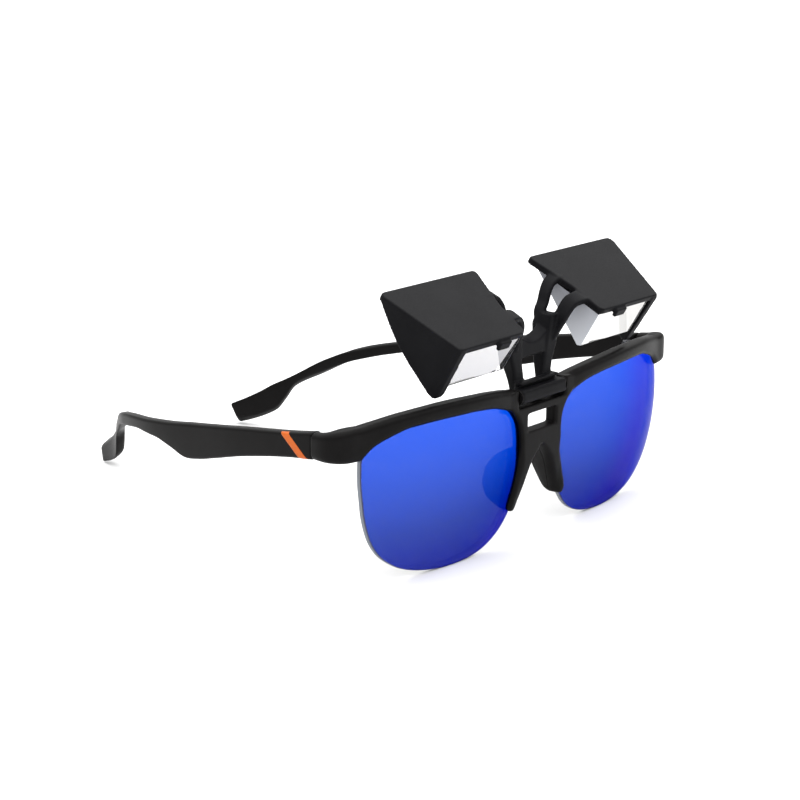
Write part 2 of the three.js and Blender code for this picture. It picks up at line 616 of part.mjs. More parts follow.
// Web with a saddle between the legs, foot bar above the barrel, and necks that join legs and barrel
const webTop = flipAxisZ + 12.8;
const webRise = 1.5;           // the web's top rises to its back
const webSag = 0.06;           // and toward the legs
const webAt = [-1, -0.75, -0.4, 0, 0.4, 0.75, 1].map((share) => share * (legSpread - 0.5));
const webBody = loft(webAt.map((x) => {
  const high = webTop + webSag * x * x;
  return [
    [x, yokeFront, webTop - webHeight], [x, yokeFront, high], [x, yokeFront + webDepth, high + webRise],
    [x, yokeFront + webDepth, webTop - webHeight],
  ];
}));
const footBarLow = flipAxisZ + barrelHeight / 2 + footBarGap;
const footBar = boxSolid(-barrelHalf + 0.9, barrelHalf - 0.9, flipAxisY - 0.2, yokeFront + 0.3, footBarLow,
  footBarLow + footBarHeight);
const neck = boxSolid(legInner[1], legOuter[1], flipAxisY, yokeFront + 1.2, flipAxisZ + 0.5,
  flipAxisZ + barrelHeight * 0.4);
const barrelRing = roundRect(-barrelDepth / 2, barrelDepth / 2, -barrelHeight / 2, barrelHeight / 2, 0.8, 3);
const barrelAt = (x) => barrelRing.map(([y, z]) => [x, flipAxisY + y, flipAxisZ + z]);
const barrelBody = loft([barrelAt(-barrelHalf), barrelAt(barrelHalf)]);
const carrierSide = plateBody.add(sideBody).add(tabBody).add(rearStrap).add(frontStrap)
  .add(legBody).add(neck);
const barrelBore = rodX(pinRadius + fitGap * 0.5, -barrelHalf - 2, barrelHalf + 2, flipAxisY, flipAxisZ);
const carrierBody = barrelBody.add(webBody).add(footBar).add(carrierSide).add(mirrorX(carrierSide))
  .subtract(barrelBore);

// Prism: a 30-60-90 wedge of clear plastic held under the plate
const glassShort = glassLong / Math.sqrt(3);
const glassTop = plateThickness + fitGap;
const glassEdges = [[0.8, glassTop], [0.8 + glassLong, glassTop], [0.8, glassTop + glassShort]];
const glassInner = (s) => plateInner + 4.5 - 0.17 * s;
const prismBody = loft([
  glassEdges.map(([s, d]) => onPlate(glassInner(s), s, d)),
  glassEdges.map(([s, d]) => onPlate(sideX(s, d) - plateThickness - fitGap, s, d)),
]);

// Naming and placing
const pieces = [
  ['front_frame', frameBody, black],
  ['lens_left', lensBody, blueMirror],
  ['lens_right', mirrorX(lensBody), blueMirror],
  ['nose_pad_left', padBody, darkRubber],
  ['nose_pad_right', mirrorX(padBody), darkRubber],
  ['temple_left', templeBody, black],
  ['temple_right', mirrorX(templeBody), black],
  ['stripe_left', stripeBody, orange],
  ['stripe_right', mirrorX(stripeBody), orange],
  ['frame_hinge_leaf_left', frameLeaf, steel],
  ['frame_hinge_leaf_right', mirrorX(frameLeaf), steel],
  ['temple_hinge_leaf_left', templeLeaf, steel],
  ['temple_hinge_leaf_right', mirrorX(templeLeaf), steel],
  ['hinge_screw_left', screwBody, steel],
  ['hinge_screw_right', mirrorX(screwBody), steel],
  ['prism_carrier', carrierBody, black],
  ['prism_left', prismBody, clear],
  ['prism_right', mirrorX(prismBody), clear],
  ['flip_pin', pinBody, steel],
  ['friction_washer_left', washerBody, darkRubber],
  ['friction_washer_right', mirrorX(washerBody), darkRubber],
];
const whole = new THREE.Box3();
const meshes = pieces.map(([name, body, material]) => {
  const mesh = body.getMesh();
  const spot = new Float32Array(mesh.numVert * 3);
  for (let i = 0; i < mesh.numVert; i += 1) {
    spot.set(mesh.vertProperties.subarray(i * mesh.numProp, i * mesh.numProp + 3), i * 3);
  }
  const geometry = new THREE.BufferGeometry();
  geometry.setAttribute('position', new THREE.BufferAttribute(spot, 3));
  geometry.setIndex(new THREE.BufferAttribute(Uint32Array.from(mesh.triVerts), 1));
  geometry.computeBoundingBox();
  whole.union(geometry.boundingBox);
  const item = new THREE.Mesh(geometry, material);
  item.name = name;
  return item;
});
const middle = whole.getCenter(new THREE.Vector3());
const group = new THREE.Group();
group.name = 'belay_glasses';
for (const item of meshes) {
  item.geometry.translate(0, -middle.y, -whole.min.z);
  item.geometry.computeVertexNormals();
  group.add(item);
}
export default group;
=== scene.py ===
import json
import math

import bpy
import numpy as np
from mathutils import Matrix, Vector


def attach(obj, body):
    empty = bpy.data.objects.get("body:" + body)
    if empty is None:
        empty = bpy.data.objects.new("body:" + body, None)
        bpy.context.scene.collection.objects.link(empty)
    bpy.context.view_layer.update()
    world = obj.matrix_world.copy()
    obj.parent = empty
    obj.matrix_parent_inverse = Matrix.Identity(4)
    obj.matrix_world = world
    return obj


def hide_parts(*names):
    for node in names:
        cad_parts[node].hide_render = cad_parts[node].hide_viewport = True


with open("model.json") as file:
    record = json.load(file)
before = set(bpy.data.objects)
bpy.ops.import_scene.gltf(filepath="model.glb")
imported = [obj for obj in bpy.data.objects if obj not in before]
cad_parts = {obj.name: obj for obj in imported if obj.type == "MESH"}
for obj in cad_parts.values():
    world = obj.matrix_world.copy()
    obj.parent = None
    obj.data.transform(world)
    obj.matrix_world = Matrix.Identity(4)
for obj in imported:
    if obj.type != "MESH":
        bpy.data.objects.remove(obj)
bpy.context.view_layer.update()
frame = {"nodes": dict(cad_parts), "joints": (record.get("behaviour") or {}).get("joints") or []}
scene = bpy.context.scene
joints = {joint["name"]: joint for joint in frame["joints"]}
print("frame loaded:", len(frame["nodes"]), "nodes")

# Shapes are drawn in millimetres from the lens bottoms (front is -y), then hung on the flip axle.
axle = {"y": -2.2, "z": 40.3}
axlePoint = np.array(joints["prism_flip"]["pos_m"])
mm = 0.001


def onFrame(points):  # drawing millimetres to metres in the frame
    return (np.asarray(points, float) - [0, axle["y"], axle["z"]]) * mm + axlePoint


# Camera: solved from the photograph, its place in millimetres from the flip axle
view = {
    "azimuth": -49.67, "elevation": 15.0, "from": (-435.47, -321.27, 142.00),
    "lens": 95.1, "sensor": 36.0, "clip": (0.01, 50),
}


def addCamera():
    data = bpy.data.cameras.new("photoCamera")
    data.lens = view["lens"]
    data.sensor_width = view["sensor"]
    data.clip_start, data.clip_end = view["clip"]
    camera = bpy.data.objects.new("photoCamera", data)
    turn, lift = math.radians(view["azimuth"]), math.radians(view["elevation"])
    back = Vector((math.sin(turn) * math.cos(lift), -math.cos(turn) * math.cos(lift), math.sin(lift)))
    camera.location = Vector(axlePoint) + Vector(view["from"]) * mm
    camera.rotation_mode = "QUATERNION"
    camera.rotation_quaternion = (-back).to_track_quat("-Z", "Y")
    scene.collection.objects.link(camera)
    scene.camera = camera


addCamera()
scene.view_settings.view_transform = "Standard"
print("camera set")


# Colour and node helpers
def linear(hexCode):  # sRGB hex to linear red, green, blue, alpha
    value = np.array([int(hexCode[i:i + 2], 16) for i in (1, 3, 5)]) / 255
    value = np.where(value <= 0.04045, value / 12.92, ((value + 0.055) / 1.055) ** 2.4)
    return (*value.tolist(), 1.0)


def addNode(tree, kind, sockets=None):  # each socket gets a value, or a link from (node, output name)
    node = tree.nodes.new(kind)
    for name, value in (sockets or {}).items():
        if isinstance(value, tuple) and isinstance(value[0], bpy.types.Node):
            tree.links.new(value[0].outputs[value[1]], node.inputs[name])
        else:
            node.inputs[name].default_value = value
    return node


def newMaterial(name, sockets):  # one shader with these values, linked to the output
    material = bpy.data.materials.new(name)
    material.use_nodes = True
    tree = material.node_tree
    tree.nodes.clear()
    shader = addNode(tree, "ShaderNodeBsdfPrincipled", sockets)
    addNode(tree, "ShaderNodeOutputMaterial", {"Surface": (shader, "BSDF")})
    return material, tree, shader


def setRamp(node, stops):  # each stop is a place from 0 to 1 and a hex colour
    ramp = node.color_ramp
    while len(ramp.elements) < len(stops):
        ramp.elements.new(0.5)
    for element, (at, hexCode) in zip(ramp.elements, stops):
        element.position = at
        element.color = linear(hexCode)


# Moulded plastics: the mould's spark-eroded skin leaves a fine grain, which scatters gloss into a satin.
# Cloud is the width of the tint's drift and relief the grain's height, in mm; spread varies the roughness.
mouldSkin = {"cloud": 9.0, "spread": 0.05, "relief": 0.02}


def grainedPlastic(name, look):
    material, tree, shader = newMaterial(name, {"IOR": 1.5, "Specular IOR Level": look["shine"]})
    spot = addNode(tree, "ShaderNodeTexCoord")
    cloud = addNode(tree, "ShaderNodeTexNoise", {
        "Vector": (spot, "Object"), "Scale": 1 / (mouldSkin["cloud"] * mm),
        "Detail": 3.0, "Roughness": 0.6})
    tint = addNode(tree, "ShaderNodeValToRGB", {"Fac": (cloud, "Fac")})
    setRamp(tint, [(0.3, look["dark"]), (0.7, look["pale"])])
    tree.links.new(tint.outputs["Color"], shader.inputs["Base Color"])
    skin = addNode(tree, "ShaderNodeTexNoise", {
        "Vector": (spot, "Object"), "Scale": 1 / (look["grain"] * mm), "Detail": 2.0})
    gloss = addNode(tree, "ShaderNodeMapRange", {
        "Value": (skin, "Fac"), "From Min": 0.3, "From Max": 0.7,
        "To Min": look["rough"] - mouldSkin["spread"], "To Max": look["rough"] + mouldSkin["spread"]})
    tree.links.new(gloss.outputs["Result"], shader.inputs["Roughness"])
    bump = addNode(tree, "ShaderNodeBump", {
        "Height": (skin, "Fac"), "Strength": look["depth"], "Distance": mouldSkin["relief"] * mm})
    tree.links.new(bump.outputs["Normal"], shader.inputs["Normal"])
    return material


# The real grain is about 0.05 mm; it is drawn at 0.3 mm and more so that it shows at this picture size
frameNylon = grainedPlastic("satinFrameNylon", {
    "dark": "#0c0b0b", "pale": "#111010", "rough": 0.4, "shine": 0.06, "grain": 0.3, "depth": 0.3})
housingAbs = grainedPlastic("grainedHousingAbs", {
    "dark": "#0e0e10", "pale": "#131315", "rough": 0.46, "shine": 0.05, "grain": 0.35, "depth": 0.4})
padRubber = grainedPlastic("mattePadSilicone", {
    "dark": "#0f0e0e", "pale": "#141313", "rough": 0.6, "shine": 0.06, "grain": 0.4, "depth": 0.3})
inlayOrange = grainedPlastic("orangeInlayAbs", {
    "dark": "#b04d06", "pale": "#ba5809", "rough": 0.4, "shine": 0.25, "grain": 0.4, "depth": 0.15})

# Mirror-coated polycarbonate: a vacuum-laid blue film. Its colour is a painted reflection, brightest at the
# brow and deeper toward the cheek.
# The film and the smoked back each let a little light through, and the bare edge looks grey.
lensFilmPaintedReflection = {
    "foot": 0.0, "head": 43.0,
    "tones": [(0.0, "#202eb0"), (0.3, "#203da7"), (0.6, "#1f47ba"), (0.95, "#1f53d8")],
}


def tonedByHeight(name, look, sockets):  # base colour runs through the tones from foot to head
    material, tree, shader = newMaterial(name, sockets)
    spot = addNode(tree, "ShaderNodeTexCoord")
    parts = addNode(tree, "ShaderNodeSeparateXYZ", {"Vector": (spot, "Object")})
    low, high = onFrame([[0, 0, look["foot"]], [0, 0, look["head"]]])[:, 2]
    level = addNode(tree, "ShaderNodeMapRange", {"Value": (parts, "Z"), "From Min": low, "From Max": high})
    tone = addNode(tree, "ShaderNodeValToRGB", {"Fac": (level, "Result")})
    setRamp(tone, look["tones"])
    tree.links.new(tone.outputs["Color"], shader.inputs["Base Color"])
    return material


lensFilm = tonedByHeight("blueMirrorFilm", lensFilmPaintedReflection, {
    "Metallic": 1.0, "Roughness": 0.1, "Specular Tint": linear("#9999d8"), "Alpha": 0.8})
lensSmoke = newMaterial("smokedPolycarbonate", {
    "Base Color": linear("#16181c"), "Roughness": 0.06, "IOR": 1.58, "Alpha": 0.89})[0]
lensEdge = newMaterial("polishedLensEdge", {
    "Base Color": linear("#666c76"), "Roughness": 0.2, "IOR": 1.58, "Alpha": 0.9})[0]
# Painted shade: a dark navy band on the first rows of the lip, where the lens meets the frame
lensRimPaintedShade = newMaterial("filmRimPaintedShade", {
    "Base Color": linear("#0a1238"), "Roughness": 0.3, "IOR": 1.58})[0]

# Optical glass: total reflection makes the front bright, ground ends scatter, and the top face is silvered.
# The ground inner end's grey is painted shade, darker toward the top.
# The clear faces have a low index, so that the wedge doesn't bend the view through it out of the picture.
prismClear = newMaterial("polishedPrismGlass", {
    "Base Color": linear("#ffffff"), "Roughness": 0.0, "IOR": 1.08, "Transmission Weight": 1.0})[0]
prismBright = newMaterial("brightPrismFront", {
    "Base Color": linear("#cecdcb"), "Metallic": 0.75, "Roughness": 0.03, "IOR": 1.08,
    "Transmission Weight": 1.0})[0]
# Painted shade: the ground inner end's grey darkens toward the top
groundEndPaintedShade = {"foot": 50.0, "head": 68.0, "tones": [(0.0, "#c9ccd2"), (0.5, "#a4a6ac"), (1.0, "#7c7d84")]}
prismGround = tonedByHeight("groundPrismEndPaintedShade", groundEndPaintedShade, {"Roughness": 0.6, "IOR": 1.5})
# Painted light: the outer end is backed white, so that the view through the glass reads bright
prismBackedPaintedLight = newMaterial("whitePaintedLightPrismEnd", {
    "Base Color": linear("#f6f6f4"), "Roughness": 0.7, "IOR": 1.5})[0]
prismSilver = newMaterial("silveredPrismFace", {
    "Base Color": linear("#f4f5f6"), "Metallic": 1.0, "Roughness": 0.03})[0]

# Turned stainless steel: fine lathe marks vary the gloss
steelLook = {"shade": "#55565a", "marks": 0.2, "smooth": 0.22, "dull": 0.42}


def turnedSteel():
    material, tree, shader = newMaterial("turnedHingeSteel", {
        "Base Color": linear(steelLook["shade"]), "Metallic": 1.0})
    spot = addNode(tree, "ShaderNodeTexCoord")
    marks = addNode(tree, "ShaderNodeTexNoise", {
        "Vector": (spot, "Object"), "Scale": 1 / (steelLook["marks"] * mm), "Detail": 2.0})
    gloss = addNode(tree, "ShaderNodeMapRange", {
        "Value": (marks, "Fac"), "To Min": steelLook["smooth"], "To Max": steelLook["dull"]})
    tree.links.new(gloss.outputs["Result"], shader.inputs["Roughness"])
    return material


hingeSteel = turnedSteel()
print("materials made")


# Curves and surfaces on grids
def between(knots, values, at):  # cubic through the knots, slopes by harmonic mean so nothing overshoots
    knots, values, at = (np.asarray(a, float) for a in (knots, values, at))
    h = np.diff(knots)
    slope = np.diff(values) / h
    same = slope[:-1] * slope[1:] > 0
    inner = np.where(same, 2 * slope[:-1] * slope[1:] / np.where(same, slope[:-1] + slope[1:], 1), 0)
    lean = np.concatenate([slope[:1], inner, slope[-1:]])
    i = np.clip(np.searchsorted(knots, at, side="right") - 1, 0, len(h) - 1)
    t = (at - knots[i]) / h[i]
    start = (2 * t**3 - 3 * t**2 + 1) * values[i] + (t**3 - 2 * t**2 + t) * h[i] * lean[i]
    return start + (3 * t**2 - 2 * t**3) * values[i + 1] + (t**3 - t**2) * h[i] * lean[i + 1]


def eased(share):  # a share held between 0 and 1, bent so that it starts and ends level
    t = np.clip(share, 0, 1)
    return t * t * (3 - 2 * t)


def softened(values, rounds):  # each round averages every value with its two neighbours; the ends stay
    values = np.array(values, float)
    for _ in range(rounds):
        values[1:-1] = (values[:-2] + 2 * values[1:-1] + values[2:]) / 4
    return values


def unit(vectors):  # each vector scaled to length one
    return vectors / np.linalg.norm(vectors, axis=-1)[..., None]


def roundSection(u0, u1, v0, v1, radius, steps):  # rounded rectangles, one row for each station
    u0, u1, v0, v1, radius = np.broadcast_arrays(*(np.asarray(a, float) for a in (u0, u1, v0, v1, radius)))
    r = np.minimum(radius, 0.48 * np.minimum(u1 - u0, v1 - v0))
    turn = (np.arange(4)[:, None] + np.linspace(0, 1, steps + 1)) * np.pi / 2
    midU = np.stack([u1 - r, u0 + r, u0 + r, u1 - r], -1)[..., None]
    midV = np.stack([v1 - r, v1 - r, v0 + r, v0 + r], -1)[..., None]
    wide = r[..., None, None]
    u = midU + wide * np.cos(turn)
    v = midV + wide * np.sin(turn)
    return u.reshape(*r.shape, -1), v.reshape(*r.shape, -1)


def softCorners(corners, radii, steps):  # each corner becomes a quadratic curve, a radius long to each side
    p = np.asarray(corners, float)
    toA, toB = np.roll(p, 1, 0) - p, np.roll(p, -1, 0) - p
    lengthA, lengthB = np.linalg.norm(toA, axis=1), np.linalg.norm(toB, axis=1)
    r = np.minimum(radii, 0.45 * np.minimum(lengthA, lengthB))
    start, end = p + toA * (r / lengthA)[:, None], p + toB * (r / lengthB)[:, None]
    t = np.linspace(0, 1, steps + 1)[:, None]
    curve = (1 - t) ** 2 * start[:, None] + 2 * t * (1 - t) * p[:, None] + t**2 * end[:, None]
    return curve.reshape(-1, 2)


def closedCurve(corners, count):  # Catmull-Rom through a closed list of points
    p = np.asarray(corners, float)
    at = np.arange(count) * len(p) / count
    i = at.astype(int)
    t = (at - i)[:, None]
    a, b, c, d = (p[(i + k) % len(p)] for k in (-1, 0, 1, 2))
    return 0.5 * (2 * b + (c - a) * t + (2 * a - 5 * b + 4 * c - d) * t**2 + (3 * b - a - 3 * c + d) * t**3)


def gridFaces(rows, cols):  # quads over rows of closed rings
    i, j = np.meshgrid(np.arange(rows - 1), np.arange(cols), indexing="ij")
    k = (j + 1) % cols
    return np.stack([i * cols + j, i * cols + k, (i + 1) * cols + k, (i + 1) * cols + j], -1).reshape(-1, 4)


def loft(rings):  # skin over rings, with a flat face at both ends, turned so that it faces out
    rows, cols = rings.shape[:2]
    points = rings.reshape(-1, 3)
    skin = gridFaces(rows, cols)
    faces = skin.tolist()
    faces.append(list(range(cols))[::-1])
    faces.append(list(range((rows - 1) * cols, rows * cols)))
    a, b, c, d = (points[skin[:, i]] for i in range(4))
    flow = np.einsum("ij,ij->i", a, np.cross(b, c) + np.cross(c, d)).sum()
    return points, faces if flow > 0 else [face[::-1] for face in faces]


def alongX(x, section):  # the same section at each x
    y, z = (np.broadcast_to(part, (len(x), len(part))) for part in np.asarray(section, float).T)
    return loft(np.stack([np.repeat(np.asarray(x, float)[:, None], y.shape[1], 1), y, z], -1))


def barSolid(spanX, spanY, spanZ, radius):  # a rounded bar along x
    y, z = roundSection(*spanY, *spanZ, radius, 4)
    return alongX(np.linspace(*spanX, 12), np.stack([y, z], -1))


def mirrored(solid):  # left to right, with its faces turned outward again
    points, faces = solid
    return points * [-1, 1, 1], [face[::-1] for face in faces]


def bothSides(solids):
    return solids + [mirrored(solid) for solid in solids]


def joined(solids):  # several solids as one list of points and one of faces
    points, faces, base = [], [], 0
    for p, f in solids:
        points.append(p)
        faces += [[i + base for i in face] for face in f]
        base += len(p)
    return np.concatenate(points), faces


def makeObject(name, solid, materials, smooth=True):
    points, faces = solid
    mesh = bpy.data.meshes.new(name)
    mesh.from_pydata(onFrame(points).tolist(), [], faces)
    mesh.update()
    piece = bpy.data.objects.new(name, mesh)
    scene.collection.objects.link(piece)
    for material in materials:
        mesh.materials.append(material)
    mesh.polygons.foreach_set("use_smooth", [smooth] * len(mesh.polygons))
    return piece


def applyModifiers(piece):  # the piece gets a new mesh with its modifiers worked in
    baked = bpy.data.meshes.new_from_object(piece.evaluated_get(bpy.context.evaluated_depsgraph_get()))
    old = piece.data
    piece.modifiers.clear()
    piece.data = baked
    bpy.data.meshes.remove(old)
    baked.name = piece.name
    baked.polygons.foreach_set("use_smooth", [True] * len(baked.polygons))


def mouldedPiece(name, solids, material, settings):  # overlapping solids fused on a voxel grid, edges eased
    piece = makeObject(name, joined(solids), [material])
    fuse = piece.modifiers.new("fuse", "REMESH")
    fuse.mode = "VOXEL"
    fuse.voxel_size = settings["voxel"] * mm
    fuse.use_smooth_shade = True
    ease = piece.modifiers.new("ease", "SMOOTH")
    ease.factor = 0.5
    ease.iterations = settings["rounds"]
    applyModifiers(piece)
    print(name, len(piece.data.polygons), "faces")
    return piece


def hang(piece, body, slotName, *nodes):  # body to ride on, a finish name that is not used, and the nodes that it stands for
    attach(piece, body)
    if nodes:
        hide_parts(*nodes)


# Lenses: an outline on a sphere
lens = {
    "radius": 88.0, "thick": 1.4, "mid": (27.2, 27.3), "deep": 4.24, "edge": 0.25,
    "rings": 24, "lipRings": 7, "shadeRows": 2, "around": 240, "hub": 0.02,
    "outline": [
        (12.4, 7.4), (15, 4.7), (18.3, 2.6), (21.9, 1.2), (25.9, 0.4), (29.7, 0.1), (33.3, 0), (36.9, 0.1),
        (40.5, 0.4), (44.1, 1.0), (47.8, 1.9), (51.6, 3.3), (55.1, 5.4), (58.2, 8.0), (60.7, 11.4),
        (62.4, 15.2), (63.6, 19.4), (64.2, 23.5), (64.6, 27.8), (64.5, 32.2), (64.0, 35.0), (62.0, 37.9),
        (57.5, 40.4), (50, 42.3), (42, 43.0), (34, 42.9), (26, 42.2), (19, 40.6), (13.5, 38.0),
        (9.8, 34.6), (7.9, 30.5), (7.4, 26), (7.7, 20.5), (8.8, 15), (10.3, 10.6),
    ],
}


def lensFront(x, z):  # y of the front sphere above a point of the front view
    away = (np.abs(x) - lens["mid"][0]) ** 2 + (z - lens["mid"][1]) ** 2
    return lens["radius"] - lens["deep"] - np.sqrt(lens["radius"] ** 2 - away)


def lensSolid():  # rings from the middle of the front, round the edge, to the middle of the back
    edge = closedCurve(lens["outline"], lens["around"])
    middle = edge.mean(0)
    inset = lens["edge"] / np.hypot(*(edge - middle).T).mean()
    reach = np.linspace(lens["hub"], 1, lens["rings"])
    face = reach - inset * reach
    lip = np.linspace(0, np.pi, lens["lipRings"] + 2)[1:-1]
    share = np.concatenate([face, 1 - inset * (1 - np.sin(lip)), face[::-1]])
    depth = np.concatenate([np.zeros(len(reach)), lens["thick"] * (1 - np.cos(lip)) / 2,
                            np.full(len(reach), lens["thick"])])
    x = middle[0] + (edge[None, :, 0] - middle[0]) * share[:, None]
    z = middle[1] + (edge[None, :, 1] - middle[1]) * share[:, None]
    return loft(np.stack([x, lensFront(x, z) + depth[:, None], z], -1))


def addLens(name, solid, node):  # film in front, a dark line of painted shade where it ends, the edge, and the smoked back
    piece = makeObject(name, solid, [lensFilm, lensSmoke, lensEdge, lensRimPaintedShade])
    row = np.arange(len(piece.data.polygons)) // lens["around"]
    rim = lens["rings"] - 1
    zones = [row < rim, row < rim + lens["shadeRows"], row <= rim + lens["lipRings"]]
    index = np.select(zones, [0, 3, 2], 1)
    index[-2:] = (0, 1)  # the small faces in the middle of the front and of the back
    piece.data.polygons.foreach_set("material_index", index.astype(np.int32))
    hang(piece, "front", "mirror_lens", node)


leftLens = lensSolid()
addLens("lensLeft", leftLens, "lens_left")
addLens("lensRight", mirrored(leftLens), "lens_right")
print("lenses made")

# Front frame: brow bars swept out to the temple seams, limbs down beside the nose, and a hinge ledge.
# The At lists are shares of the way from the brow's inner end to the lens's outer edge.
brow = {
    "lip": 1.2, "back": 3.4, "end": 71.3, "seam": 13.8, "seamTop": 40.8, "seamLow": 34.2, "endThick": 3.7,
    "topAt": [0, 0.116, 0.27, 0.516, 0.762, 0.935, 1], "top": [42.3, 43.4, 44.3, 44.9, 44.3, 43.1, 42.6],
    "lowAt": [0, 0.094, 0.185, 0.275, 0.37, 0.55, 0.735, 0.82, 0.92, 0.985, 1],
    "low": [36.2, 37.8, 39.3, 40.0, 40.4, 40.6, 40.2, 39.1, 37.1, 34.6, 34.0],
    "inner": 10.25, "outer": 64.6, "round": 1.6, "voxel": 0.3, "rounds": 8, "spare": 0.7,
    "cornerOut": 1.8, "cornerBack": 0.08, "cornerSwell": 4.8, "seamLift": 0.3, "endBow": 0.3, "soften": 40,
}


def sweptRings(x, y, u, z):  # upright sections square to a plan path; the last one faces straight sideways
    run = unit(np.gradient(np.stack([x, y], -1), axis=0))
    side = np.stack([run[:, 1], -run[:, 0]], -1)
    side[-1] = (1, 0)
    return np.stack([x[:, None] + side[:, :1] * u, y[:, None] + side[:, 1:] * u, z], -1)


# The path follows the lens, then a quadratic curve round the corner and back to the temple seam. On that
# curve e runs from 0 to 1: the top bows up between its ends, and the low edge is level from halfway on.
def browSolid():
    t = np.linspace(0, 1, 90)
    x = brow["inner"] + (brow["outer"] - brow["inner"]) * t
    top = between(brow["topAt"], brow["top"], t)
    low = between(brow["lowAt"], brow["low"], t)
    y = lensFront(x, (top + low) / 2)
    e = np.linspace(0, 1, 50)[1:]
    s = 1 - e
    end = brow["end"] + brow["spare"]
    cornerX = end + brow["cornerOut"]
    cornerY = y[-1] + (brow["seam"] - y[-1]) * brow["cornerBack"]
    endX = s**2 * x[-1] + 2 * s * e * cornerX + e**2 * (end - brow["lip"] * s)
    endY = s**2 * y[-1] + 2 * s * e * cornerY + e**2 * brow["seam"]
    seamTop = brow["seamTop"] + brow["seamLift"]
    endTop = top[-1] + (seamTop - top[-1]) * eased(e) + 4 * brow["endBow"] * s * e
    endLow = low[-1] + (brow["seamLow"] - low[-1]) * np.minimum(1, 2 * eased(e))
    pathX = softened(np.concatenate([x, endX]), brow["soften"])
    pathY = softened(np.concatenate([y, endY]), brow["soften"])
    endFront = brow["lip"] * s + brow["cornerSwell"] * s * s * e
    front = softened(np.concatenate([np.full(len(t), brow["lip"]), endFront]), brow["soften"])
    back = np.concatenate([np.full(len(t), brow["back"]), brow["back"] * s + brow["endThick"] * e])
    low, top = np.concatenate([low, endLow]), np.concatenate([top, endTop])
    u, z = roundSection(-back, front, low, top, brow["round"], 6)
    return loft(sweptRings(pathX, pathY, u, z))


# Bridge: half widths and edge radii by height
bridge = {
    "front": -3.44, "back": 0.46, "foot": 9.3, "archTop": 26.0, "windowLow": 30.3, "windowTop": 35.2,
    "barTop": 37.24, "cheekTop": 42.4, "cheek": 10.05, "windowHalf": 5.9, "overlap": 2.0, "step": 0.01,
    "roundAt": [9.3, 22, 27, 42.4], "round": [1.8, 1.8, 0.9, 0.9],
    "innerAt": [9.3, 10, 11.8, 14, 16.3, 18.7, 21.1, 23.6, 26],
    "inner": [10.2, 8.7, 7.8, 6.8, 5.8, 4.8, 3.6, 1.9, 0],
    "outerAt": [9.3, 10.6, 13, 15.4, 18, 22, 25, 28, 32, 35.6, 38.2, 40.4, 41.8, 42.4],
    "outer": [11.6, 12.6, 12.0, 11.1, 10.3, 9.3, 8.9, 8.8, 9.3, 11.2, 14, 16, 14.6, 12.4],
    "bendTop": 34.0, "bendOver": 6.0, "bendInner": 8.8, "bendFrom": (9.3, 22.0),
}
ledge = {"gap": 3.06, "back": 3.16, "foot": 35.2, "top": 39.8, "arc": (-78, -9), "bite": 1.0}


def rimBend(x, z):  # how far the rim follows the lens back below the bridge
    bend = lensFront(np.maximum(np.abs(x), bridge["bendInner"]), z) - lensFront(*bridge["bendFrom"])
    return bend * eased((bridge["bendTop"] - z) / bridge["bendOver"])


def limbSolid():  # level sections up one side of the bridge; the inner edge steps out for the window
    z = np.unique(np.concatenate([np.linspace(bridge["foot"], bridge["cheekTop"], 140)] + [
        [bridge[k] - bridge["step"], bridge[k] + bridge["step"]]
        for k in ("archTop", "windowLow", "windowTop", "barTop")]))
    arch = between(bridge["innerAt"], bridge["inner"], np.minimum(z, bridge["archTop"]))
    inner = np.where(z < bridge["archTop"], arch, -bridge["overlap"])
    inner = np.where((z > bridge["windowLow"]) & (z < bridge["windowTop"]), bridge["windowHalf"], inner)
    inner = np.where(z > bridge["barTop"], bridge["cheek"], inner)
    outer = between(bridge["outerAt"], bridge["outer"], z)
    radius = between(bridge["roundAt"], bridge["round"], z)
    x, y = roundSection(inner, outer, bridge["front"], bridge["back"], radius, 5)
    level = np.repeat(z[:, None], x.shape[1], 1)
    return loft(np.stack([x, y + rimBend(x, level), level], -1))


def ledgeSolid():  # rest behind the barrel, hollowed by an arc about the axle
    turn = np.radians(np.linspace(*ledge["arc"], 12))
    arc = np.stack([axle["y"] + ledge["gap"] * np.cos(turn), axle["z"] + ledge["gap"] * np.sin(turn)], -1)
    rest = [(ledge["back"], ledge["top"]), (ledge["back"], ledge["foot"]), (arc[0, 0], ledge["foot"])]
    reach = bridge["cheek"] + ledge["bite"]
    return alongX(np.linspace(-reach, reach, 12), np.concatenate([arc, rest]))


frontSolids = bothSides([browSolid(), limbSolid()]) + [ledgeSolid()]
hang(mouldedPiece("frontFrame", frontSolids, frameNylon, brow), "front", "frame_plastic", "front_frame")

# Nose pads: soft leaves behind the rims
pad = {
    "foot": 9.55, "head": 26.35, "start": -1.2, "deep": 9.2, "cut": 0.48, "open": 1.33, "oval": 0.8,
    "thick": 1.6, "round": 0.7, "bury": 0.3, "rootX": 10.9, "lean": 5.8, "splay": 0.18,
    "proud": 0.12, "flareDeep": 8.6,
}


# Level sections: the leaf's depth follows an oval cut off at the rim, and its root reaches in to the
# limb's inner edge.
def padSolid():
    turn = np.linspace(-pad["open"], pad["open"], 60)
    z = (pad["foot"] + pad["head"]) / 2 + (pad["head"] - pad["foot"]) / 2 * np.sin(turn)
    deep = pad["deep"] * ((1 + pad["cut"]) * np.cos(turn) ** pad["oval"] - pad["cut"])
    deep = np.maximum(deep, pad["bury"])
    back, side = roundSection(-pad["bury"], deep, 0.0, pad["thick"], pad["round"], 5)
    level = np.repeat(z[:, None], back.shape[1], 1)
    rise = (level - pad["foot"]) / (pad["head"] - pad["foot"])
    root = pad["rootX"] - pad["lean"] * rise
    limbX = between(bridge["innerAt"], bridge["inner"], np.minimum(level, bridge["archTop"]))
    reach = eased(1 - back / pad["flareDeep"]) * (1 - side / pad["thick"])
    x = root + pad["splay"] * back + side - (root - limbX + pad["proud"]) * reach
    return loft(np.stack([x, pad["start"] + rimBend(x, level) + back, level], -1))


